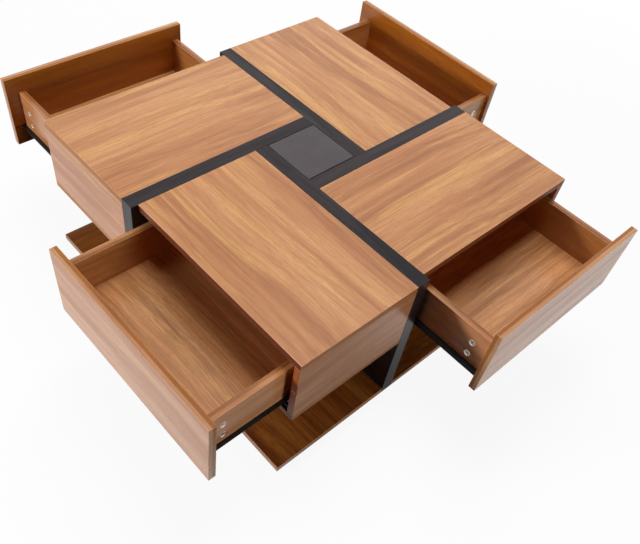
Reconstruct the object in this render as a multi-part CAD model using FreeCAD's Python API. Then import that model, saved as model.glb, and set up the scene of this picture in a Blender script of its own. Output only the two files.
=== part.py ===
import FreeCAD, Part
import os

# Square coffee table with four drawers in a pinwheel. Millimetres, +Z up, floor at Z 0,
# origin below the middle of the table. The drawers stand open, as far as in the picture.

# Plan and height
case_depth = 302.0
upright_thickness = 32.0
centre_side = 132.0
table_height = 356.0
case_height = 172.0

# Boards of the carcass
base_thickness = 15.0
case_top_thickness = 15.0
case_end_thickness = 15.0
case_floor_thickness = 12.0
edge_break = 0.4

# Glass square and the battens under it
glass_thickness = 6.0
glass_joint = 1.6
cleat_side = 10.0
cleat_corner_gap = 4.0

# Drawer front
face_thickness = 15.0
face_gap = 1.0
face_top_drop = 4.0
face_upright_gap = 3.0

# Drawer box
box_thickness = 15.0
box_lift = 14.0
box_headroom = 26.0
box_rear_space = 37.0

# Drawer bottom and its groove
bottom_thickness = 4.0
bottom_lift = 18.0
groove_depth = 6.0
groove_play = 0.2
groove_end_play = 0.5
groove_stop = 2.0

# Runners
runner_space = 12.5
runner_gauge = 1.2
runner_inset = 2.0
track_play = 0.9
rail_play = 2.3
sole_margin = 1.0
lip_play = 2.0

# Rollers of the runners
roller_radius = 9.0
roller_width = 6.4
roller_play = 0.3
roller_side_play = 0.5
axle_radius = 2.5
axle_play = 0.3
axle_rise = 8.5
axle_head_radius = 4.0
axle_head_thickness = 0.8
front_axle_inset = 12.0
rear_axle_inset = 30.0
stop_play = 2.0
stop_reserve = 15.0

# Cam locks in the drawer sides
cam_radius = 7.5
cam_depth = 9.0
cam_play = 0.3
cam_spacing = 32.0
cam_low_share = 0.18
cam_inset = 35.0
cross_length = 9.0
cross_width = 1.6
cross_depth = 2.5

# Bumpers on the edges of the case ends
bumper_radius = 4.5
bumper_thickness = 0.8

# Cuts run past the faces that they open
overrun = 1.0

# Plan of the front module, whose drawer opens towards -Y
half_centre = centre_side / 2
half_table = half_centre + upright_thickness + case_depth
wall_x = -half_centre
end_x = half_table - case_end_thickness
face_y = -half_table
back_y = face_y + case_depth
set_back_y = face_y + face_thickness + face_gap

# Heights
case_low_z = table_height - case_height
case_floor_z = case_low_z + case_floor_thickness
case_roof_z = table_height - case_top_thickness
glass_low_z = table_height - glass_thickness
box_low_z = case_floor_z + box_lift
box_high_z = case_roof_z - box_headroom
bottom_low_z = box_low_z + bottom_lift
bottom_high_z = bottom_low_z + bottom_thickness

# Drawer box in the closed place
box_front_y = face_y + face_thickness
box_rear_y = back_y - box_rear_space
box_back_y = box_rear_y - box_thickness
tongue = groove_depth - groove_end_play
cam_low_z = bottom_high_z + cam_low_share * (box_high_z - bottom_high_z)

# Tracks, rails and rollers
track_width = runner_space - runner_gauge - track_play
rail_width = runner_space - runner_gauge - rail_play
sole_width = box_thickness - sole_margin
axle_z = box_low_z + axle_rise
track_z = axle_z - roller_radius - roller_play
rail_z = axle_z + roller_radius + roller_play
rail_top_z = rail_z + runner_gauge
lip_z = rail_top_z + lip_play
runner_front_y = set_back_y + runner_inset
runner_length = box_rear_y - box_front_y
front_axle_y = runner_front_y + front_axle_inset
rear_axle_y = box_rear_y - rear_axle_inset

# The rollers of case and drawer meet at the end of the travel, and the drawers stand short of that
travel = rear_axle_y - front_axle_y - 2 * roller_radius - stop_play
open_distance = travel - stop_reserve

modules = ("front", "right", "back", "left")
hands = ("left", "right")
quarter_turn = 90
z_axis = FreeCAD.Vector(0, 0, 1)
middle = FreeCAD.Vector(0, 0, 0)


def block(x_pair, y_pair, z_pair):
    low = FreeCAD.Vector(min(x_pair), min(y_pair), min(z_pair))
    high = FreeCAD.Vector(max(x_pair), max(y_pair), max(z_pair))
    size = high - low
    return Part.makeBox(size.x, size.y, size.z, low)


def board(x_pair, y_pair, z_pair):
    """A board whose edges are all broken a little."""
    plain = block(x_pair, y_pair, z_pair)
    return plain.makeChamfer(edge_break, plain.Edges)


def across(hand, distance):
    """X of a place at a distance from the case wall at that hand, towards the drawer."""
    if hand == "left":
        return wall_x + distance
    return end_x - distance


def inward(hand):
    """Direction from the case wall at that hand towards the drawer."""
    return FreeCAD.Vector(1, 0, 0) if hand == "left" else FreeCAD.Vector(-1, 0, 0)


def disc(hand, start, finish, radius, y, z):
    """A round bar square to the case wall, between two distances from it."""
    place = FreeCAD.Vector(across(hand, start), y, z)
    return Part.makeCylinder(radius, finish - start, place, inward(hand))


def strip(hand, outline, start_y):
    """A folded steel strip along Y: its outline is given as distances from the case wall and heights."""
    corners = [FreeCAD.Vector(across(hand, distance), start_y, z) for distance, z in outline]
    wire = Part.makePolygon(corners + corners[:1])
    return Part.Face(wire).extrude(FreeCAD.Vector(0, runner_length, 0))


def write(name, shape):
    shape.exportStep(os.path.join("parts", name + ".step"))


def turned(shape, turns):
    copy = shape.copy()
    copy.rotate(middle, z_axis, quarter_turn * turns)
    return copy


def opened(shape):
    copy = shape.copy()
    copy.translate(FreeCAD.Vector(0, -open_distance, 0))
    return copy


# Carcass boards
def upright():
    return board((wall_x - upright_thickness, wall_x), (face_y, half_centre), (0, table_height))


def base_board():
    return board((wall_x, half_table), (face_y, back_y), (0, base_thickness))


def case_top():
    return board((wall_x, half_table), (set_back_y, back_y), (case_roof_z, table_height))


def case_end():
    return board((end_x, half_table), (set_back_y, back_y), (case_floor_z, case_roof_z))


def case_floor():
    return board((wall_x, half_table), (set_back_y, back_y), (case_low_z, case_floor_z))


# Glass square in the middle, on a batten at each upright
def centre_glass():
    reach = half_centre - glass_joint
    return board((-reach, reach), (-reach, reach), (glass_low_z, table_height))


def glass_cleat():
    reach = half_centre - cleat_side - cleat_corner_gap
    return board((wall_x, wall_x + cleat_side), (-reach, reach), (glass_low_z - cleat_side, glass_low_z))


# Pad that the closed front meets, on the edge of the case end
def bumper():
    place = FreeCAD.Vector((end_x + half_table) / 2, set_back_y, (case_low_z + table_height) / 2)
    return Part.makeCylinder(bumper_radius, bumper_thickness, place, FreeCAD.Vector(0, -1, 0))


# Drawer boards, in the closed place
def groove(x_pair, y_pair):
    return block(x_pair, y_pair, (bottom_low_z, bottom_high_z + groove_play))


def drawer_face():
    x_pair = (wall_x + face_upright_gap, half_table)
    panel = board(x_pair, (face_y, box_front_y), (case_low_z, table_height - face_top_drop))
    cut_x = (x_pair[0] + groove_stop, x_pair[1] - groove_stop)
    return panel.cut(groove(cut_x, (box_front_y - groove_depth, box_front_y + overrun)))


def drawer_side(hand):
    outer = runner_space
    inner = outer + box_thickness
    x_pair = (across(hand, outer), across(hand, inner))
    panel = board(x_pair, (box_front_y, box_rear_y), (box_low_z, box_high_z))
    cut_x = (across(hand, inner - groove_depth), across(hand, inner + overrun))
    panel = panel.cut(groove(cut_x, (box_front_y - overrun, box_rear_y + overrun)))
    for y, z in cam_places():
        panel = panel.cut(disc(hand, outer - overrun, outer + cam_depth, cam_radius + cam_play, y, z))
    return panel


def drawer_back():
    x_pair = (across("left", runner_space + box_thickness), across("right", runner_space + box_thickness))
    panel = board(x_pair, (box_back_y, box_rear_y), (box_low_z, box_high_z))
    cut_x = (x_pair[0] - overrun, x_pair[1] + overrun)
    return panel.cut(groove(cut_x, (box_back_y - overrun, box_back_y + groove_depth)))


def drawer_bottom():
    edge = runner_space + box_thickness - tongue
    x_pair = (across("left", edge), across("right", edge))
    return block(x_pair, (box_front_y - tongue, box_back_y + tongue), (bottom_low_z, bottom_high_z))


# Cam locks, flush with the outer faces of the drawer sides, each with a cross for the driver
def cam_places():
    y = box_front_y + cam_inset
    return [(y, cam_low_z), (y, cam_low_z + cam_spacing)]


def cam(hand, y, z):
    lock = disc(hand, runner_space, runner_space + cam_depth, cam_radius, y, z)
    x_pair = (across(hand, runner_space - overrun), across(hand, runner_space + cross_depth))
    for y_size, z_size in ((cross_length, cross_width), (cross_width, cross_length)):
        y_pair = (y - y_size / 2, y + y_size / 2)
        z_pair = (z - z_size / 2, z + z_size / 2)
        lock = lock.cut(block(x_pair, y_pair, z_pair))
    return lock


# Runners: a track on the case wall with a roller at its front, and a rail under the drawer side
# with a roller at its rear. The rail lies on the front roller, and the rear roller runs in the track.
def riveted_axle(hand, web_face, step, y):
    """Axle of a roller, out of the middle of its web, with a head that keeps the roller on."""
    root = web_face - step * runner_gauge / 2
    neck = web_face + step * (2 * roller_side_play + roller_width)
    tip = neck + step * axle_head_thickness
    shaft = disc(hand, min(root, tip), max(root, tip), axle_radius, y, axle_z)
    head = disc(hand, min(neck, tip), max(neck, tip), axle_head_radius, y, axle_z)
    return shaft.fuse(head)


def roller(hand, web_face, step, y):
    near = web_face + step * roller_side_play
    far = near + step * roller_width
    start = min(near, far)
    finish = max(near, far)
    wheel = disc(hand, start, finish, roller_radius, y, axle_z)
    bore = disc(hand, start - overrun, finish + overrun, axle_radius + axle_play, y, axle_z)
    return wheel.cut(bore)


def case_runner(hand):
    low_z = track_z - runner_gauge
    high_z = lip_z + runner_gauge
    outline = [
        (0, low_z),
        (track_width, low_z),
        (track_width, track_z),
        (runner_gauge, track_z),
        (runner_gauge, lip_z),
        (track_width, lip_z),
        (track_width, high_z),
        (0, high_z),
    ]
    track = strip(hand, outline, runner_front_y)
    return track.fuse(riveted_axle(hand, runner_gauge, 1, front_axle_y))


def drawer_runner(hand):
    low_z = box_low_z - runner_gauge
    web_face = runner_space - runner_gauge
    outline = [
        (runner_space + sole_width, low_z),
        (runner_space + sole_width, box_low_z),
        (runner_space, box_low_z),
        (runner_space, rail_top_z),
        (runner_space - rail_width, rail_top_z),
        (runner_space - rail_width, rail_z),
        (web_face, rail_z),
        (web_face, low_z),
    ]
    rail = strip(hand, outline, box_front_y)
    return rail.fuse(riveted_axle(hand, web_face, -1, rear_axle_y))


def case_roller(hand):
    return roller(hand, runner_gauge, 1, front_axle_y)


def drawer_roller(hand):
    return roller(hand, runner_space - runner_gauge, -1, rear_axle_y)


def pair(maker):
    return Part.makeCompound([maker(hand) for hand in hands])


def cams():
    return Part.makeCompound([cam(hand, y, z) for hand in hands for y, z in cam_places()])


os.makedirs("parts", exist_ok=True)

# Pieces that each module has once, in the case and in the drawer
case_pieces = {
    "base_board": base_board(),
    "upright": upright(),
    "case_top": case_top(),
    "case_end": case_end(),
    "case_floor": case_floor(),
    "case_rollers": pair(case_roller),
}
drawer_pieces = {
    "drawer_face": drawer_face(),
    "drawer_left_side": drawer_side("left"),
    "drawer_right_side": drawer_side("right"),
    "drawer_back": drawer_back(),
    "drawer_bottom": drawer_bottom(),
    "drawer_runners": pair(drawer_runner),
    "drawer_rollers": pair(drawer_roller),
    "drawer_cams": cams(),
}
for turns, module in enumerate(modules):
    for name, shape in case_pieces.items():
        write(name + "_" + module, turned(shape, turns))
    for name, shape in drawer_pieces.items():
        write(name + "_" + module, turned(opened(shape), turns))

# Pieces that the whole table shares
quarters = range(len(modules))
write("centre_glass", centre_glass())
write("glass_cleats", Part.makeCompound([turned(glass_cleat(), turns) for turns in quarters]))
write("bumpers", Part.makeCompound([turned(bumper(), turns) for turns in quarters]))
runners = [case_runner(hand) for hand in hands]
write("case_runners", Part.makeCompound([turned(one, turns) for turns in quarters for one in runners]))

print("table side", 2 * half_table, "height", table_height)
print("drawer open by", open_distance, "of a travel of", travel)
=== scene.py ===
from math import cos, pi, radians, sin

import bmesh
import bpy
from mathutils import Matrix, Vector


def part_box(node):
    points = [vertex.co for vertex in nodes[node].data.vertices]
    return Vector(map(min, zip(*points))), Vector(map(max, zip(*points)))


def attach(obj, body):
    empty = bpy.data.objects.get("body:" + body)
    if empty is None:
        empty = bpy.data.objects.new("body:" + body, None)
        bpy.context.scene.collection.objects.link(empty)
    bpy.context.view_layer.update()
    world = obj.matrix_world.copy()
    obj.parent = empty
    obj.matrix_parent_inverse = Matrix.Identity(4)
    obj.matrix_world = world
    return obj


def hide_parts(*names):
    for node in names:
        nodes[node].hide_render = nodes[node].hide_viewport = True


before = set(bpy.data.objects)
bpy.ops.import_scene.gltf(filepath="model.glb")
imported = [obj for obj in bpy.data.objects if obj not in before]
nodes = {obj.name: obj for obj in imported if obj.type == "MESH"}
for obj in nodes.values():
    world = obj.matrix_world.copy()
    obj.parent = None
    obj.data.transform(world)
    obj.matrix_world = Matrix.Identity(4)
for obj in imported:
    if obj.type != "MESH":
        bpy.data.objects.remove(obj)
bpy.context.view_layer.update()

# The four quarters of the table, each a quarter turn on from the one before
quarters = {"front": 0, "right": 1, "back": 2, "left": 3}
axis_ways = ((1, 0, 0), (0, 1, 0), (0, 0, 1))
mm = 0.001

# Camera, from the photograph's frame of 640 by 544 pixels
picture_width = 640.0
picture_height = 544.0
focal_pixels = 699.5
centre_column = 308.0
centre_row = 318.2
camera_azimuth = radians(39.82)
camera_elevation = radians(51.02)
camera_roll = radians(10.39)
camera_place = Vector((0.81234, -0.88524, 1.28427))
sensor_width = 36.0
nearest_seen = 0.01

# Softboxes: compass from +X towards +Y, height above the horizon, distance, side, level, where a
# level of 1 lights a white surface that faces the lamp to white, and whether it shows in reflections
softboxes = {
    "main_softbox": (radians(115), radians(65), 2.6, 1.2, 0.46, False),
    "overhead_softbox": (0.0, radians(90), 2.4, 0.7, 0.32, False),
    "front_softbox": (radians(240), radians(40), 2.6, 0.9, 0.09, True),
    "low_key": (radians(252.7), radians(16), 3.2, 0.34, 0.60, True),
    "right_fill": (radians(2), radians(15), 3.0, 0.6, 0.28, False),
    "back_fill": (radians(140), radians(14), 3.2, 1.2, 0.28, False),
}
table_middle = Vector((0.0, 0.0, 0.25))

# Floor: white to the camera apart from a share of the shadow, which fades out away from the table
floor_side = 14.0
floor_colour = (0.92, 0.92, 0.92, 1.0)
floor_bounce = (0.05, 0.05, 0.05, 1.0)
floor_shadow_share = 0.09
floor_shadow_fade = (1.0, 2.2)

# How bright the floor is in a reflection in front, at the right front corner and on the right, and where
# one
# passes into the next: painted light and shade in the reflected floor, with a painted shadow at the corner.
# Above 1 it is white, so the fade from the front starts late.
floor_mirror_front = 1.25
floor_corner_painted_shadow = 0.24
floor_mirror_right = 0.92
floor_corner_fade = (-0.15, 0.15)
floor_right_fade = (0.35, 0.85)

# Grain: noise steps per metre along and across a board, detail, roughness, and where it sets in
# and is full
grain_bands = ((0.9, 17.0, 17.0), 2.0, 0.5, 0.30, 0.70)
grain_streaks = ((1.9, 70.0, 70.0), 3.0, 0.55, 0.30, 0.70)
grain_threads = ((8.0, 340.0, 340.0), 3.0, 0.5, 0.32, 0.68)
grain_flecks = ((70.0, 600.0, 600.0), 1.0, 0.5, 0.54, 0.70)
grain_figure = ((2.0, 46.0, 46.0), 3.0, 0.55, 0.46, 0.72)

# How far the grain sways across the board, and how much of the tone each part of it makes
sway_steps = (2.2, 5.0, 5.0)
sway_detail = 1.0
sway_reach = (0.0, 0.05, 0.05)
band_part = 0.45
streak_part = 0.29
thread_part = 0.26

# Where the tone passes from dark to middle and on to light, how strong the golden figure is between
# and on the threads, and how strong the flecks are
middle_fade = (0.16, 0.52)
light_fade = (0.46, 0.88)
figure_strength = (0.36, 0.80)
fleck_strength = 0.36

# Relief of the grain, where its tone passes from rough to smooth, and how far each board's grain is
# moved on from the one before
thread_height = 0.4
fleck_height = -0.6
grain_bump = 0.25
grain_depth = 0.12 * mm
sheen_fade = (0.2, 0.8)
grain_shift = (1.37, 0.73, 0.51)

# How near its outline a place counts as lying on a board's narrow edge, the width of its worn corners,
# which also carry a painted highlight, how that width wanders and how much duller they are
skin = 0.2 * mm
edge_width = 1.3 * mm
edge_wander_steps = (160.0, 160.0, 160.0)
edge_wander_share = (0.6, 1.4)
corner_dulling = 0.3

# Noise that is even over a surface: where it sets in and is full, and the size of the fine speckle
# as a share of the broad one
noise_fade = (0.3, 0.7)
speckle_share = (0.03, 0.03, 0.03)

# Walnut tones, darkest first, with the golden figure last
tone_names = ("Dark", "Middle", "Light", "Golden")
walnut_tones = (
    (0.44, 0.172, 0.068, 1.0),
    (0.56, 0.238, 0.099, 1.0),
    (0.70, 0.338, 0.151, 1.0),
    (0.77, 0.406, 0.166, 1.0),
)
# Case top and floor tones: walnut darkened, painted shade that holds down the light on the brightly lit
# tops
case_top_tones_with_painted_shade = (
    (0.360, 0.140, 0.055, 1.0),
    (0.485, 0.204, 0.081, 1.0),
    (0.630, 0.304, 0.128, 1.0),
    (0.740, 0.404, 0.142, 1.0),
)
# Base tones: walnut made far darker and redder, painted shade for the shelves under the cases
base_tones_with_painted_shade = (
    (0.120, 0.028, 0.004, 1.0),
    (0.200, 0.054, 0.009, 1.0),
    (0.330, 0.106, 0.021, 1.0),
    (0.425, 0.156, 0.028, 1.0),
)
bottom_tones = (
    (0.36, 0.148, 0.050, 1.0),
    (0.56, 0.254, 0.098, 1.0),
    (0.79, 0.392, 0.168, 1.0),
    (0.90, 0.480, 0.182, 1.0),
)
# Colour laid on worn walnut corners, partly wear and partly a painted highlight
walnut_edge = (0.78, 0.42, 0.20, 1.0)

# Share of a board's tone on its narrow edges, and the painted shade on the side that faces into a drawer
full_share = (1.0, 1.0, 1.0, 1.0)
walnut_band_share = (0.76, 0.70, 0.64, 1.0)
case_top_band_share = (0.22, 0.085, 0.02, 1.0)
case_end_band_share = (0.60, 0.32, 0.12, 1.0)
face_band_share = (0.92, 1.02, 1.15, 1.0)
# The base's edges are lighter than its top face, out of that painted shade
base_band_share = (1.75, 2.10, 3.00, 1.0)
walnut_inside_painted_shade = (0.67, 0.60, 0.39, 1.0)
face_inside_painted_shade = (0.65, 0.44, 0.10, 1.0)

# Painted light and shade on single boards, made lighter or darker than their kind
painted_light_by_board = {
    "drawer_right_side_front": (1.20, 1.20, 1.16),
    "drawer_left_side_right": (1.10, 1.10, 1.10),
    "drawer_right_side_left": (0.86, 0.76, 0.66),
}
no_shade = (1.0, 1.0, 1.0)

# Black board tones, in the same order
black_tones = (
    (0.0010, 0.0004, 0.0006, 1.0),
    (0.0070, 0.0032, 0.0040, 1.0),
    (0.0230, 0.0136, 0.0156, 1.0),
    (0.0420, 0.0270, 0.0300, 1.0),
)
# Colour laid on worn black corners, partly wear and partly a painted highlight
black_edge = (0.040, 0.036, 0.037, 1.0)

# Index of refraction of lacquer, glass and plastic
clear_ior = 1.5

# Glass and nickel: darkest and lightest tone, smoothest and roughest, and speckles per metre
glass_tones = ((0.054, 0.041, 0.047, 1.0), (0.062, 0.048, 0.054, 1.0))
glass_tone_fade = (0.35, 0.65)
glass_roughness = (0.03, 0.09)
glass_specks = 900.0
nickel_tones = ((0.70, 0.62, 0.50, 1.0), (0.84, 0.77, 0.66, 1.0))
nickel_roughness = (0.18, 0.34)
nickel_specks = 2500.0

# Coated and moulded finishes: darkest and lightest tone, smoothest and roughest, speckles per metre,
# depth of the speckle and specular level
coated_bump = 0.3
coated_finishes = {
    "black_steel": ((0.010, 0.010, 0.011, 1.0), (0.017, 0.017, 0.018, 1.0),
                    0.32, 0.46, 1400.0, 0.05 * mm, 0.2),
    "nylon": ((0.62, 0.62, 0.59, 1.0), (0.70, 0.70, 0.67, 1.0),
              0.36, 0.46, 900.0, 0.03 * mm, 0.5),
    "soft_plastic": ((0.86, 0.86, 0.85, 1.0), (0.92, 0.92, 0.91, 1.0),
                     0.22, 0.32, 900.0, 0.02 * mm, 0.5),
    "cleat_black": ((0.008, 0.008, 0.008, 1.0), (0.014, 0.014, 0.014, 1.0),
                    0.5, 0.6, 700.0, 0.05 * mm, 0.5),
}

# Cam lock: its rim, its dished face and the cross-shaped socket, which narrows downwards
cam_radius = 7.5 * mm
cam_depth = 9.0 * mm
cam_rim = 1.1 * mm
cam_dish = 1.0 * mm
cam_socket_radius = 4.2 * mm
cam_socket_side = 5.4 * mm
cam_socket_depth = 4.5 * mm
cam_socket_taper = 0.75
cam_break = 0.2 * mm
cam_steps = 36

# Bumper, a low dome: how much of its height is a straight wall, and of its radius rounded off
bumper_radius = 4.5 * mm
bumper_height = 0.8 * mm
bumper_wall_share = 0.25
bumper_round_share = 0.55
bumper_arc_steps = 6
bumper_steps = 32

# Points nearer than this are one, and edges that turn less than this are shaded smooth
merge_distance = 1e-6
smooth_below = radians(35)


# A new node with its settings, and its inputs set to values or linked to other nodes' outputs
def node(tree, kind, inputs=None, **settings):
    made = tree.nodes.new(kind)
    for name, value in settings.items():
        setattr(made, name, value)
    for name, value in (inputs or {}).items():
        socket = made.inputs[name]
        if isinstance(value, bpy.types.NodeSocket):
            tree.links.new(value, socket)
        else:
            socket.default_value = value
    return made


def maths(tree, operation, first, second=0.0, third=0.0):
    inputs = {0: first, 1: second, 2: third}
    return node(tree, "ShaderNodeMath", inputs, operation=operation).outputs[0]


def vectors(tree, operation, first, second):
    inputs = {0: first, 1: second}
    return node(tree, "ShaderNodeVectorMath", inputs, operation=operation).outputs[0]


def dot(tree, first, second):
    inputs = {0: first, 1: second}
    return node(tree, "ShaderNodeVectorMath", inputs, operation="DOT_PRODUCT").outputs["Value"]


def mix_colours(tree, share, first, second, blend="MIX"):
    inputs = {0: share, 6: first, 7: second}
    return node(tree, "ShaderNodeMix", inputs, data_type="RGBA", blend_type=blend).outputs[2]


def mix_places(tree, share, first, second):
    inputs = {0: share, 4: first, 5: second}
    return node(tree, "ShaderNodeMix", inputs, data_type="VECTOR").outputs[1]


def ramp(tree, value, start, end, low=0.0, high=1.0):
    inputs = {"Value": value, "From Min": start, "From Max": end, "To Min": low, "To Max": high}
    made = node(tree, "ShaderNodeMapRange", inputs, interpolation_type="SMOOTHSTEP")
    return made.outputs["Result"]


def noise(tree, place, steps, detail=2.0, roughness=0.5):
    scaled = vectors(tree, "MULTIPLY", place, steps)
    inputs = {"Vector": scaled, "Scale": 1.0, "Detail": detail, "Roughness": roughness}
    return node(tree, "ShaderNodeTexNoise", inputs).outputs["Fac"]


def new_group(name, inputs, outputs):
    tree = bpy.data.node_groups.new(name, "ShaderNodeTree")
    for label, kind, value in inputs:
        socket = tree.interface.new_socket(name=label, in_out="INPUT", socket_type=kind)
        socket.default_value = value
    for label, kind in outputs:
        tree.interface.new_socket(name=label, in_out="OUTPUT", socket_type=kind)
    return tree, tree.nodes.new("NodeGroupInput").outputs, tree.nodes.new("NodeGroupOutput").inputs


def join(tree, values, group_outputs):
    for name, value in values.items():
        tree.links.new(value, group_outputs[name])


def grain_part(tree, place, steps, detail, roughness, start, end):
    return ramp(tree, noise(tree, place, steps, detail, roughness), start, end)


# Wood grain along X: broad bands, streaks, threads, a golden figure and short flecks
def make_wood_grain():
    tones = zip(tone_names, walnut_tones)
    tree, given, result = new_group(
        "wood_grain",
        [("Place", "NodeSocketVector", (0.0, 0.0, 0.0))]
        + [(label, "NodeSocketColor", tone) for label, tone in tones],
        [("Color", "NodeSocketColor"), ("Height", "NodeSocketFloat"), ("Sheen", "NodeSocketFloat")],
    )
    sway = maths(tree, "SUBTRACT", noise(tree, given["Place"], sway_steps, sway_detail), 0.5)
    sideways = node(tree, "ShaderNodeCombineXYZ", {1: sway, 2: sway}).outputs[0]
    place = vectors(tree, "ADD", given["Place"], vectors(tree, "MULTIPLY", sideways, sway_reach))
    bands = grain_part(tree, place, *grain_bands)
    streaks = grain_part(tree, place, *grain_streaks)
    threads = grain_part(tree, place, *grain_threads)
    flecks = grain_part(tree, place, *grain_flecks)
    figure = grain_part(tree, place, *grain_figure)
    tone = maths(tree, "MULTIPLY_ADD", bands, band_part, maths(tree, "MULTIPLY", streaks, streak_part))
    tone = maths(tree, "MULTIPLY_ADD", threads, thread_part, tone)
    colour = mix_colours(tree, ramp(tree, tone, *middle_fade), given["Dark"], given["Middle"])
    colour = mix_colours(tree, ramp(tree, tone, *light_fade), colour, given["Light"])
    figure = maths(tree, "MULTIPLY", figure, ramp(tree, threads, 0.0, 1.0, *figure_strength))
    colour = mix_colours(tree, figure, colour, given["Golden"])
    colour = mix_colours(tree, maths(tree, "MULTIPLY", flecks, fleck_strength), colour, given["Dark"])
    raised = maths(tree, "MULTIPLY", threads, thread_height)
    height = maths(tree, "MULTIPLY_ADD", flecks, fleck_height, raised)
    join(tree, {"Color": colour, "Height": height, "Sheen": tone}, result)
    return tree


# A place, and the two corners of a board's box
box_sockets = [
    ("Place", "NodeSocketVector", (0.0, 0.0, 0.0)),
    ("Low", "NodeSocketVector", (0.0, 0.0, 0.0)),
    ("High", "NodeSocketVector", (1.0, 1.0, 1.0)),
]


# How far a place lies inside the nearer of a board's two sides, along each axis
def depth_inside(tree, given):
    from_low = vectors(tree, "SUBTRACT", given["Place"], given["Low"])
    from_high = vectors(tree, "SUBTRACT", given["High"], given["Place"])
    return vectors(tree, "MINIMUM", from_low, from_high)


# Masks of a board's narrow edges, across and along its grain, and of the half that faces inwards
def make_board_sides():
    tree, given, result = new_group(
        "board_sides",
        box_sockets + [
            ("Grain Way", "NodeSocketVector", (1.0, 0.0, 0.0)),
            ("Cross Way", "NodeSocketVector", (0.0, 1.0, 0.0)),
            ("Inner Way", "NodeSocketVector", (0.0, 0.0, 0.0)),
            ("Skin", "NodeSocketFloat", skin),
        ],
        [("End", "NodeSocketFloat"), ("Side", "NodeSocketFloat"), ("Inside", "NodeSocketFloat")],
    )
    depth = depth_inside(tree, given)
    at_end = maths(tree, "LESS_THAN", dot(tree, depth, given["Grain Way"]), given["Skin"])
    at_side = maths(tree, "LESS_THAN", dot(tree, depth, given["Cross Way"]), given["Skin"])
    middle = mix_places(tree, 0.5, given["Low"], given["High"])
    inwards = dot(tree, vectors(tree, "SUBTRACT", given["Place"], middle), given["Inner Way"])
    inside = maths(tree, "GREATER_THAN", inwards, 0.0)
    join(tree, {"End": at_end, "Side": at_side, "Inside": inside}, result)
    return tree


# Mask of a board's corners, which take wear and a painted highlight
def make_board_edges():
    tree, given, result = new_group(
        "board_edges",
        box_sockets + [("Width", "NodeSocketFloat", edge_width)],
        [("Edge", "NodeSocketFloat")],
    )
    nearest = node(tree, "ShaderNodeSeparateXYZ", {0: depth_inside(tree, given)}).outputs
    lesser = maths(tree, "MINIMUM", nearest[0], nearest[1])
    greater = maths(tree, "MAXIMUM", nearest[0], nearest[1])
    second = maths(tree, "MAXIMUM", lesser, maths(tree, "MINIMUM", greater, nearest[2]))
    wander = ramp(tree, noise(tree, given["Place"], edge_wander_steps), *noise_fade, *edge_wander_share)
    width = maths(tree, "MULTIPLY", given["Width"], wander)
    mask = maths(tree, "SUBTRACT", 1.0, maths(tree, "DIVIDE", second, width))
    join(tree, {"Edge": node(tree, "ShaderNodeClamp", {0: mask}).outputs[0]}, result)
    return tree


# Fine speckle of a coated or moulded surface
def make_speckle():
    tree, given, result = new_group(
        "speckle",
        [("Place", "NodeSocketVector", (0.0, 0.0, 0.0)), ("Per Metre", "NodeSocketFloat", 1500.0)],
        [("Fine", "NodeSocketFloat"), ("Broad", "NodeSocketFloat")],
    )
    scale = {0: given["Place"], "Scale": given["Per Metre"]}
    place = node(tree, "ShaderNodeVectorMath", scale, operation="SCALE").outputs[0]
    fine = noise(tree, place, (1.0, 1.0, 1.0))
    broad = noise(tree, place, speckle_share)
    join(tree, {"Fine": fine, "Broad": broad}, result)
    return tree


wood_grain = make_wood_grain()
board_sides = make_board_sides()
board_edges = make_board_edges()
speckle = make_speckle()


def use_group(tree, group, inputs):
    return node(tree, "ShaderNodeGroup", inputs, node_tree=group).outputs


def new_material(name, constants):
    material = bpy.data.materials.new(name)
    material.use_nodes = True
    tree = material.node_tree
    shader = tree.nodes["Principled BSDF"]
    for socket, value in constants.items():
        shader.inputs[socket].default_value = value
    place = node(tree, "ShaderNodeTexCoord").outputs["Object"]
    return material, tree, shader, place


def add_bump(tree, shader, height, strength, distance):
    inputs = {"Height": height, "Strength": strength, "Distance": distance}
    tree.links.new(node(tree, "ShaderNodeBump", inputs).outputs["Normal"], shader.inputs["Normal"])


# A board's tones, with the painted light and shade of the single boards listed above
def tones_with_painted_light(board, tones):
    shade = painted_light_by_board.get(board, no_shade)
    shaded = [[part * share for part, share in zip(tone, shade)] + [1.0] for tone in tones]
    return dict(zip(tone_names, shaded))
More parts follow.
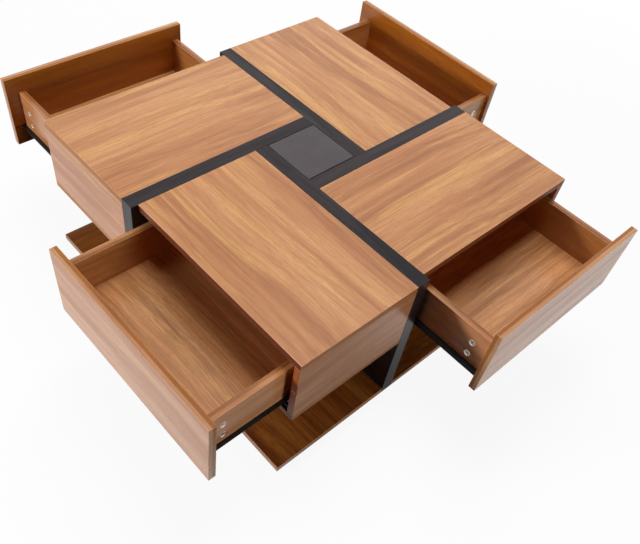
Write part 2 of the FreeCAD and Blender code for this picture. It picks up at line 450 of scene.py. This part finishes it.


# A board's finish: grain along one side, banded narrow edges with grain along them, corners lightened with
# wear and a painted highlight, and painted shade that deepens the colour of the half that faces into a
# drawer
def board_material(name, board, grain_turn, finish, seed, inner_way):
    low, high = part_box(board)
    material, tree, shader, place = new_material(
        name, {"IOR": clear_ior, "Specular IOR Level": finish["specular"]})
    box = {"Place": place, "Low": low, "High": high}
    grain_axis = 0 if abs(cos(grain_turn)) > 0.5 else 1
    thin_axis = min(range(3), key=lambda axis: high[axis] - low[axis])
    cross_axis = 3 - grain_axis - thin_axis
    sides = use_group(tree, board_sides, {
        **box,
        "Grain Way": axis_ways[grain_axis],
        "Cross Way": axis_ways[cross_axis],
        "Inner Way": inner_way,
        "Skin": skin,
    })
    offset = [seed * step for step in grain_shift]
    end_turn = (0.0, pi / 2, 0.0) if cross_axis == 2 else (0.0, 0.0, grain_turn + pi / 2)
    along = {"Vector": place, "Location": offset, "Rotation": (0.0, 0.0, grain_turn)}
    across = {"Vector": place, "Location": offset, "Rotation": end_turn}
    grain_place = mix_places(
        tree,
        sides["End"],
        node(tree, "ShaderNodeMapping", along).outputs[0],
        node(tree, "ShaderNodeMapping", across).outputs[0],
    )
    grain = use_group(tree, wood_grain, {"Place": grain_place, **tones_with_painted_light(board, finish["tones"])})
    # Painted shade: deeper colour on the half that faces into a drawer
    colour = mix_colours(tree, sides["Inside"], grain["Color"], finish["inside_painted_shade"], "MULTIPLY")
    colour = mix_colours(tree, sides["End"], colour, finish["end_share"], "MULTIPLY")
    colour = mix_colours(tree, sides["Side"], colour, finish["side_share"], "MULTIPLY")
    edge = use_group(tree, board_edges, {**box, "Width": edge_width})["Edge"]
    # Corners lightened, partly wear and partly a painted highlight
    wear_and_highlight = maths(tree, "MULTIPLY", edge, finish["edge_wear_and_highlight"])
    tree.links.new(mix_colours(tree, wear_and_highlight, colour, finish["edge"]), shader.inputs["Base Color"])
    smooth, rough = finish["roughness"]
    sheen = ramp(tree, grain["Sheen"], *sheen_fade, rough, smooth)
    banded = maths(tree, "MAXIMUM", sides["End"], sides["Side"])
    dull = maths(tree, "MULTIPLY", banded, finish["band_dulling"])
    dull = maths(tree, "MAXIMUM", dull, maths(tree, "MULTIPLY", edge, corner_dulling))
    tree.links.new(maths(tree, "ADD", sheen, dull), shader.inputs["Roughness"])
    add_bump(tree, shader, grain["Height"], grain_bump, grain_depth)
    return material


def dress(name, material):
    piece = nodes[name]
    for slot in piece.material_slots:
        slot.material = material


walnut = {"tones": walnut_tones, "edge": walnut_edge, "end_share": walnut_band_share,
          "side_share": walnut_band_share, "inside_painted_shade": walnut_inside_painted_shade,
          "band_dulling": 0.0, "edge_wear_and_highlight": 0.4, "roughness": (0.21, 0.30), "specular": 0.5}
base_walnut = {**walnut, "tones": base_tones_with_painted_shade, "end_share": base_band_share,
               "side_share": base_band_share, "specular": 0.36}
bottom_walnut = {**walnut, "tones": bottom_tones}
case_top_walnut = {**walnut, "tones": case_top_tones_with_painted_shade, "side_share": case_top_band_share,
                   "band_dulling": 0.3}
case_end_walnut = {**walnut, "end_share": case_end_band_share, "band_dulling": 0.3}
face_walnut = {**walnut, "end_share": face_band_share, "side_share": face_band_share,
               "inside_painted_shade": face_inside_painted_shade}
black = {"tones": black_tones, "edge": black_edge, "end_share": full_share,
         "side_share": full_share, "inside_painted_shade": full_share,
         "band_dulling": 0.0, "edge_wear_and_highlight": 0.8, "roughness": (0.30, 0.42), "specular": 0.34}

# Boards: name, finish, grain turned a further quarter from the quarter's own, and in the front
# quarter the way that its inner side faces, if it has one
no_way = (0, 0)
boards = [
    ("base_board", base_walnut, 0, no_way),
    ("case_top", case_top_walnut, 0, no_way),
    ("case_floor", case_top_walnut, 0, no_way),
    ("case_end", case_end_walnut, 1, no_way),
    ("drawer_face", face_walnut, 0, (0, 1)),
    ("drawer_left_side", walnut, 1, (1, 0)),
    ("drawer_right_side", walnut, 1, (-1, 0)),
    ("drawer_back", walnut, 0, (0, -1)),
    ("drawer_bottom", bottom_walnut, 0, no_way),
    ("upright", black, 1, no_way),
]


# A level direction once its quarter is turned into place
def turned_way(way, turns):
    x, y = way
    for turn in range(turns):
        x, y = -y, x
    return (x, y, 0)


def dress_boards():
    seed = 1
    for quarter, turns in quarters.items():
        for kind, finish, further, way in boards:
            board = kind + "_" + quarter
            turn = -(turns + further) * pi / 2
            inner_way = turned_way(way, turns)
            dress(board, board_material("finish_" + board, board, turn, finish, seed, inner_way))
            seed += 1


dress_boards()


def make_dark_glass():
    material, tree, shader, place = new_material("dark_glass", {"IOR": clear_ior})
    specks = use_group(tree, speckle, {"Place": place, "Per Metre": glass_specks})
    colour = mix_colours(tree, ramp(tree, specks["Broad"], *glass_tone_fade), *glass_tones)
    tree.links.new(colour, shader.inputs["Base Color"])
    roughness = ramp(tree, specks["Broad"], *noise_fade, *glass_roughness)
    tree.links.new(roughness, shader.inputs["Roughness"])
    return material


def make_coated(name, dark, light, smooth, rough, per_metre, depth, specular):
    material, tree, shader, place = new_material(
        name, {"IOR": clear_ior, "Specular IOR Level": specular})
    specks = use_group(tree, speckle, {"Place": place, "Per Metre": per_metre})
    colour = mix_colours(tree, ramp(tree, specks["Broad"], *noise_fade), dark, light)
    tree.links.new(colour, shader.inputs["Base Color"])
    roughness = ramp(tree, specks["Fine"], *noise_fade, smooth, rough)
    tree.links.new(roughness, shader.inputs["Roughness"])
    add_bump(tree, shader, specks["Fine"], coated_bump, depth)
    return material


def make_nickel():
    material, tree, shader, place = new_material("nickel", {"Metallic": 1.0})
    specks = use_group(tree, speckle, {"Place": place, "Per Metre": nickel_specks})
    colour = mix_colours(tree, ramp(tree, specks["Broad"], *noise_fade), *nickel_tones)
    tree.links.new(colour, shader.inputs["Base Color"])
    roughness = ramp(tree, specks["Fine"], *noise_fade, *nickel_roughness)
    tree.links.new(roughness, shader.inputs["Roughness"])
    return material


nickel = make_nickel()
coated = {name: make_coated(name, *finish) for name, finish in coated_finishes.items()}

dress("centre_glass", make_dark_glass())
dress("glass_cleats", coated["cleat_black"])
dress("case_runners", coated["black_steel"])
for quarter in quarters:
    dress("drawer_runners_" + quarter, coated["black_steel"])
    dress("case_rollers_" + quarter, coated["nylon"])
    dress("drawer_rollers_" + quarter, coated["nylon"])


# A profile in the XZ plane turned once about Z
def spun(shape, profile, steps):
    made = [shape.verts.new(point) for point in profile]
    edges = [shape.edges.new(pair) for pair in zip(made, made[1:])]
    bmesh.ops.spin(shape, geom=made + edges, axis=(0.0, 0.0, 1.0), cent=(0.0, 0.0, 0.0),
                   angle=2 * pi, steps=steps, use_merge=True)
    bmesh.ops.remove_doubles(shape, verts=shape.verts[:], dist=merge_distance)


def finish_piece(name, shape, material):
    bmesh.ops.recalc_face_normals(shape, faces=shape.faces[:])
    mesh = bpy.data.meshes.new(name)
    shape.to_mesh(mesh)
    shape.free()
    mesh.materials.append(material)
    mesh.polygons.foreach_set("use_smooth", [True] * len(mesh.polygons))
    mesh.set_sharp_from_angle(angle=smooth_below)
    piece = bpy.data.objects.new(name, mesh)
    bpy.context.scene.collection.objects.link(piece)
    return piece


# One cam lock with its face at zero, looking along +Z. The socket starts as a square of nine faces,
# whose middle row and column become the arms of the cross.
def cam_lock():
    shape = bmesh.new()
    inner = cam_radius - cam_rim
    profile = [
        (cam_socket_radius, 0.0, -cam_dish),
        (inner - 2 * cam_break, 0.0, -cam_dish),
        (inner - cam_break, 0.0, -cam_break),
        (inner, 0.0, 0.0),
        (cam_radius - cam_break, 0.0, 0.0),
        (cam_radius, 0.0, -cam_break),
        (cam_radius, 0.0, -cam_depth),
        (0.0, 0.0, -cam_depth),
    ]
    spun(shape, profile, cam_steps)
    round_rim = [edge for edge in shape.edges if edge.is_boundary]
    grid = bmesh.ops.create_grid(shape, x_segments=3, y_segments=3, size=cam_socket_side / 2,
                                 matrix=Matrix.Translation((0.0, 0.0, -cam_dish)))["verts"]
    square = {face for vert in grid for face in vert.link_faces}
    arm = cam_socket_side / 8
    for vert in grid:
        for axis in (0, 1):
            if abs(vert.co[axis]) < cam_socket_side / 4:
                vert.co[axis] = arm if vert.co[axis] > 0 else -arm
    square_rim = [edge for edge in shape.edges if edge.is_boundary and edge not in round_rim]
    cross = [face for face in square if min(abs(v) for v in face.calc_center_median()[:2]) < arm]
    bmesh.ops.bridge_loops(shape, edges=round_rim + square_rim)
    sunk = bmesh.ops.extrude_face_region(shape, geom=cross)["geom"]
    bmesh.ops.delete(shape, geom=cross, context="FACES")
    sunk_verts = [item for item in sunk if isinstance(item, bmesh.types.BMVert)]
    bmesh.ops.translate(shape, vec=(0.0, 0.0, -cam_socket_depth), verts=sunk_verts)
    for vert in sunk_verts:
        vert.co.x *= cam_socket_taper
        vert.co.y *= cam_socket_taper
    return shape


# One low dome standing on zero, looking along +Z
def bumper_dome():
    shape = bmesh.new()
    profile = [(bumper_radius, 0.0, 0.0)]
    for step in range(bumper_arc_steps + 1):
        angle = step / bumper_arc_steps * pi / 2
        radius = bumper_radius * (1 - bumper_round_share * (1 - cos(angle)))
        height = bumper_height * (bumper_wall_share + (1 - bumper_wall_share) * sin(angle))
        profile.append((radius, 0.0, height))
    profile.append((0.0, 0.0, bumper_height))
    spun(shape, profile, bumper_steps)
    return shape


# One shape with a copy of another at each place
def placed_copies(one, places):
    mesh = bpy.data.meshes.new("copy")
    one.to_mesh(mesh)
    one.free()
    shape = bmesh.new()
    for place in places:
        mesh.transform(place)
        shape.from_mesh(mesh)
        mesh.transform(place.inverted())
    bpy.data.meshes.remove(mesh)
    return shape


def quarter_turn(quarter):
    return Matrix.Rotation(quarters[quarter] * pi / 2, 4, "Z")


# Two cam locks, one above the other, in each side of a drawer
def cam_places(quarter):
    low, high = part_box("drawer_cams_front")
    y = low.y + cam_radius
    heights = (low.z + cam_radius, high.z - cam_radius)
    places = []
    for z in heights:
        left = Matrix.Translation((low.x, y, z)) @ Matrix.Rotation(-pi / 2, 4, "Y")
        right = Matrix.Translation((high.x, y, z)) @ Matrix.Rotation(pi / 2, 4, "Y")
        places += [quarter_turn(quarter) @ left, quarter_turn(quarter) @ right]
    return places


for quarter in quarters:
    cams = finish_piece("cam_locks_" + quarter, placed_copies(cam_lock(), cam_places(quarter)), nickel)
    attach(cams, "drawer_" + quarter)
    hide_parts("drawer_cams_" + quarter)

end_low, end_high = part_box("case_end_front")
bumper_low, bumper_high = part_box("bumpers")
bumper_spot = Vector(((end_low.x + end_high.x) / 2, end_low.y, (bumper_low.z + bumper_high.z) / 2))
bumper_place = Matrix.Translation(bumper_spot) @ Matrix.Rotation(pi / 2, 4, "X")
domes = placed_copies(bumper_dome(), [quarter_turn(quarter) @ bumper_place for quarter in quarters])
bumper_domes = finish_piece("bumper_domes", domes, coated["soft_plastic"])
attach(bumper_domes, "table")
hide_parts("bumpers")


# The floor. In a reflection its brightness goes by how far a place lies to the right and the back: painted
# light and shade, with a painted shadow at the right front corner.
def make_floor():
    shape = bmesh.new()
    bmesh.ops.create_grid(shape, x_segments=1, y_segments=1, size=floor_side / 2)
    material = bpy.data.materials.new("floor")
    material.use_nodes = True
    tree = material.node_tree
    tree.nodes.remove(tree.nodes["Principled BSDF"])
    light_path = node(tree, "ShaderNodeLightPath").outputs
    place = node(tree, "ShaderNodeTexCoord").outputs["Object"]
    axes = node(tree, "ShaderNodeSeparateXYZ", {0: place}).outputs
    to_right = maths(tree, "ADD", axes[0], axes[1])
    mirror = ramp(tree, to_right, *floor_corner_fade, floor_mirror_front, floor_corner_painted_shadow)
    brighter = ramp(tree, to_right, *floor_right_fade, 0.0, floor_mirror_right - floor_corner_painted_shadow)
    mirror = maths(tree, "ADD", mirror, brighter)
    seen = maths(tree, "MAXIMUM", light_path["Is Camera Ray"], light_path["Is Transmission Ray"])
    far = node(tree, "ShaderNodeVectorMath", {0: place}, operation="LENGTH").outputs["Value"]
    seen = maths(tree, "MULTIPLY", seen, ramp(tree, far, *floor_shadow_fade, 1 - floor_shadow_share, 1.0))
    share = maths(tree, "MAXIMUM", seen, maths(tree, "MULTIPLY", mirror, light_path["Is Glossy Ray"]))
    white = node(tree, "ShaderNodeEmission", {"Color": (1.0, 1.0, 1.0, 1.0), "Strength": 1.0})
    colour = mix_colours(tree, light_path["Is Camera Ray"], floor_bounce, floor_colour)
    matt = node(tree, "ShaderNodeBsdfDiffuse", {"Color": colour})
    blend = node(tree, "ShaderNodeMixShader", {0: share, 1: matt.outputs[0], 2: white.outputs[0]})
    tree.links.new(blend.outputs[0], tree.nodes["Material Output"].inputs["Surface"])
    finish_piece("floor", shape, material)


# A white room for the camera and for reflections, which adds no light of its own
def make_world():
    world = bpy.data.worlds.new("studio")
    world.use_nodes = True
    bpy.context.scene.world = world
    tree = world.node_tree
    background = tree.nodes["Background"]
    background.inputs["Color"].default_value = (1.0, 1.0, 1.0, 1.0)
    light_path = node(tree, "ShaderNodeLightPath").outputs
    seen = maths(tree, "MAXIMUM", light_path["Is Camera Ray"], light_path["Is Transmission Ray"])
    seen = maths(tree, "MAXIMUM", seen, light_path["Is Glossy Ray"])
    tree.links.new(seen, background.inputs["Strength"])


# A square lamp that looks at the table's middle
def add_softbox(name, compass, height, distance, side, level, mirrored):
    light = bpy.data.lights.new(name, "AREA")
    light.shape = "SQUARE"
    light.size = side
    light.energy = level * (pi * distance) ** 2
    direction = Vector((cos(compass) * cos(height), sin(compass) * cos(height), sin(height)))
    lamp = bpy.data.objects.new(name, light)
    lamp.location = table_middle + direction * distance
    lamp.rotation_euler = direction.to_track_quat("Z", "Y").to_euler()
    lamp.visible_glossy = mirrored
    bpy.context.scene.collection.objects.link(lamp)


def make_lights():
    for name, measures in softboxes.items():
        add_softbox(name, *measures)


def make_camera():
    camera = bpy.data.cameras.new("camera")
    camera.sensor_fit = "HORIZONTAL"
    camera.sensor_width = sensor_width
    camera.lens = focal_pixels / picture_width * sensor_width
    camera.shift_x = (picture_width / 2 - centre_column) / picture_width
    camera.shift_y = (centre_row - picture_height / 2) / picture_width
    camera.clip_start = nearest_seen
    back = Vector((sin(camera_azimuth) * cos(camera_elevation),
                   -cos(camera_azimuth) * cos(camera_elevation),
                   sin(camera_elevation)))
    level_right = Vector((0.0, 0.0, 1.0)).cross(back).normalized()
    level_up = back.cross(level_right)
    right = cos(camera_roll) * level_right + sin(camera_roll) * level_up
    up = back.cross(right)
    viewer = bpy.data.objects.new("camera", camera)
    viewer.matrix_world = Matrix.Translation(camera_place) @ Matrix((right, up, back)).transposed().to_4x4()
    bpy.context.scene.collection.objects.link(viewer)
    bpy.context.scene.camera = viewer


make_floor()
make_world()
make_lights()
make_camera()
bpy.context.scene.view_settings.view_transform = "Standard"
